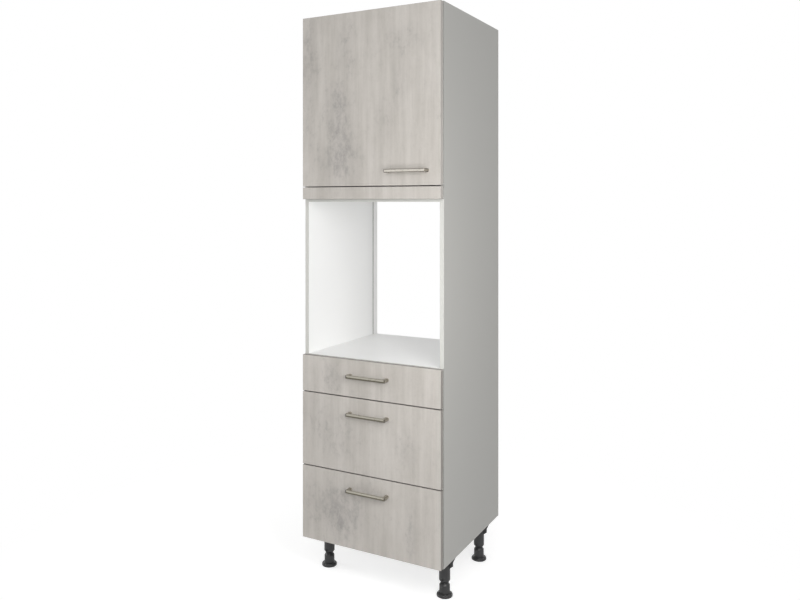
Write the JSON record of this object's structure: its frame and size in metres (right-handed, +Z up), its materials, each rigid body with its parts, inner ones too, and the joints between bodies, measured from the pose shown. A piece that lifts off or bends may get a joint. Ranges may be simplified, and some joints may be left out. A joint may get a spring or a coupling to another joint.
{
  "type": "tall oven housing unit",
  "caption": "Tall fitted kitchen cabinet on plinth legs with stacked drawers, an open oven niche and an upper compartment behind a hinged door.",
  "frame": {"origin": "on the floor, in the middle of the width and of the whole depth with the handles", "axes": "+Z up, the fronts face -Y, +X to the right as seen from the front"},
  "size_m": [0.6, 0.604, 2.19],
  "materials": {
    "concrete_decor": "satin concrete-look decor on chipboard",
    "grey_side": "satin plain grey decor on chipboard, white inside",
    "white_board": "satin white melamine on chipboard",
    "brushed_nickel": "brushed",
    "nickel_steel": "satin nickel plate",
    "zinc_steel": "zinc plate",
    "white_steel": "satin powder coat",
    "black_plastic": "matte",
    "white_plastic": "matte",
    "beech": "raw"
  },
  "bodies": {
    "carcass": {"side_panel_left": "grey_side", "side_panel_right": "grey_side", "bottom_panel": "white_board", "top_panel": "white_board", "niche_floor": "white_board", "niche_ceiling": "white_board", "lower_back_panel": "white_board", "upper_back_panel": "white_board", "adjustable_shelf": "white_board", "shelf_pins": "zinc_steel", "filler_strip": "concrete_decor", "filler_strip_brackets": "zinc_steel", "connector_cams": "zinc_steel", "connector_bolts": "zinc_steel", "wooden_dowels": "beech", "front_bumpers": "white_plastic", "leg_sockets": "black_plastic", "cabinet_runners": "white_steel", "hinge_plates": "zinc_steel", "hinge_arms": "nickel_steel"},
    "hinge_links": {"hinge_links": "zinc_steel"},
    "door": {"door_panel": "concrete_decor", "door_handle": "brushed_nickel", "door_handle_screws": "zinc_steel", "hinge_cups": "nickel_steel"},
    "foot_front_left": {"foot_front_left": "black_plastic"},
    "foot_front_right": {"foot_front_right": "black_plastic"},
    "foot_rear_left": {"foot_rear_left": "black_plastic"},
    "foot_rear_right": {"foot_rear_right": "black_plastic"},
    "top_drawer": {"top_drawer_front": "concrete_decor", "top_drawer_handle": "brushed_nickel", "top_drawer_handle_screws": "zinc_steel", "top_drawer_sides": "white_steel", "top_drawer_bottom": "white_board", "top_drawer_back": "white_board", "top_drawer_brackets": "zinc_steel"},
    "top_drawer_front_rollers": {"top_drawer_front_rollers": "white_plastic"},
    "top_drawer_rear_rollers": {"top_drawer_rear_rollers": "white_plastic"},
    "middle_drawer": {"middle_drawer_front": "concrete_decor", "middle_drawer_handle": "brushed_nickel", "middle_drawer_handle_screws": "zinc_steel", "middle_drawer_sides": "white_steel", "middle_drawer_bottom": "white_board", "middle_drawer_back": "white_board", "middle_drawer_brackets": "zinc_steel", "middle_drawer_gallery_rails": "white_steel"},
    "middle_drawer_front_rollers": {"middle_drawer_front_rollers": "white_plastic"},
    "middle_drawer_rear_rollers": {"middle_drawer_rear_rollers": "white_plastic"},
    "bottom_drawer": {"bottom_drawer_front": "concrete_decor", "bottom_drawer_handle": "brushed_nickel", "bottom_drawer_handle_screws": "zinc_steel", "bottom_drawer_sides": "white_steel", "bottom_drawer_bottom": "white_board", "bottom_drawer_back": "white_board", "bottom_drawer_brackets": "zinc_steel", "bottom_drawer_gallery_rails": "white_steel"},
    "bottom_drawer_front_rollers": {"bottom_drawer_front_rollers": "white_plastic"},
    "bottom_drawer_rear_rollers": {"bottom_drawer_rear_rollers": "white_plastic"}
  },
  "joints": [
    {"name": "foot_front_left_height", "type": "slide", "parent": "carcass", "child": "foot_front_left", "axis": [0, 0, -1], "range_m": [0, 0.02]},
    {"name": "foot_front_right_height", "type": "slide", "parent": "carcass", "child": "foot_front_right", "axis": [0, 0, -1], "range_m": [0, 0.02]},
    {"name": "foot_rear_left_height", "type": "slide", "parent": "carcass", "child": "foot_rear_left", "axis": [0, 0, -1], "range_m": [0, 0.02]},
    {"name": "foot_rear_right_height", "type": "slide", "parent": "carcass", "child": "foot_rear_right", "axis": [0, 0, -1], "range_m": [0, 0.02]},
    {"name": "hinge_link_swing", "type": "hinge", "parent": "carcass", "child": "hinge_links", "pos_m": [-0.248, -0.248, 1.8581], "axis": [0, 0, 1], "range_deg": [0, 38]},
    {"name": "door_swing", "type": "hinge", "parent": "hinge_links", "child": "door", "pos_m": [-0.282, -0.259, 1.8581], "axis": [0, 0, -1], "range_deg": [0, 133]},
    {"name": "top_drawer_slide", "type": "slide", "parent": "carcass", "child": "top_drawer", "axis": [0, -1, 0], "range_m": [0, 0.37]},
    {"name": "top_drawer_front_rollers_turn", "type": "hinge", "parent": "carcass", "child": "top_drawer_front_rollers", "pos_m": [0, -0.235, 0.7687], "axis": [1, 0, 0], "range_deg": [0, 1929]},
    {"name": "top_drawer_rear_rollers_turn", "type": "hinge", "parent": "top_drawer", "child": "top_drawer_rear_rollers", "pos_m": [0, 0.233, 0.76565], "axis": [1, 0, 0], "range_deg": [0, 2187]},
    {"name": "middle_drawer_slide", "type": "slide", "parent": "carcass", "child": "middle_drawer", "axis": [0, -1, 0], "range_m": [0, 0.37]},
    {"name": "middle_drawer_front_rollers_turn", "type": "hinge", "parent": "carcass", "child": "middle_drawer_front_rollers", "pos_m": [0, -0.235, 0.4807], "axis": [1, 0, 0], "range_deg": [0, 1929]},
    {"name": "middle_drawer_rear_rollers_turn", "type": "hinge", "parent": "middle_drawer", "child": "middle_drawer_rear_rollers", "pos_m": [0, 0.233, 0.47765], "axis": [1, 0, 0], "range_deg": [0, 2187]},
    {"name": "bottom_drawer_slide", "type": "slide", "parent": "carcass", "child": "bottom_drawer", "axis": [0, -1, 0], "range_m": [0, 0.37]},
    {"name": "bottom_drawer_front_rollers_turn", "type": "hinge", "parent": "carcass", "child": "bottom_drawer_front_rollers", "pos_m": [0, -0.235, 0.1927], "axis": [1, 0, 0], "range_deg": [0, 1929]},
    {"name": "bottom_drawer_rear_rollers_turn", "type": "hinge", "parent": "bottom_drawer", "child": "bottom_drawer_rear_rollers", "pos_m": [0, 0.233, 0.18965], "axis": [1, 0, 0], "range_deg": [0, 2187]}
  ],
  "couplings": [
    {"joint": "hinge_link_swing", "follows": "door_swing", "ratio": 0.28571},
    {"joint": "top_drawer_front_rollers_turn", "follows": "top_drawer_slide", "rad_per_m": 90.909},
    {"joint": "top_drawer_rear_rollers_turn", "follows": "top_drawer_slide", "rad_per_m": 103.09},
    {"joint": "middle_drawer_front_rollers_turn", "follows": "middle_drawer_slide", "rad_per_m": 90.909},
    {"joint": "middle_drawer_rear_rollers_turn", "follows": "middle_drawer_slide", "rad_per_m": 103.09},
    {"joint": "bottom_drawer_front_rollers_turn", "follows": "bottom_drawer_slide", "rad_per_m": 90.909},
    {"joint": "bottom_drawer_rear_rollers_turn", "follows": "bottom_drawer_slide", "rad_per_m": 103.09}
  ]
}
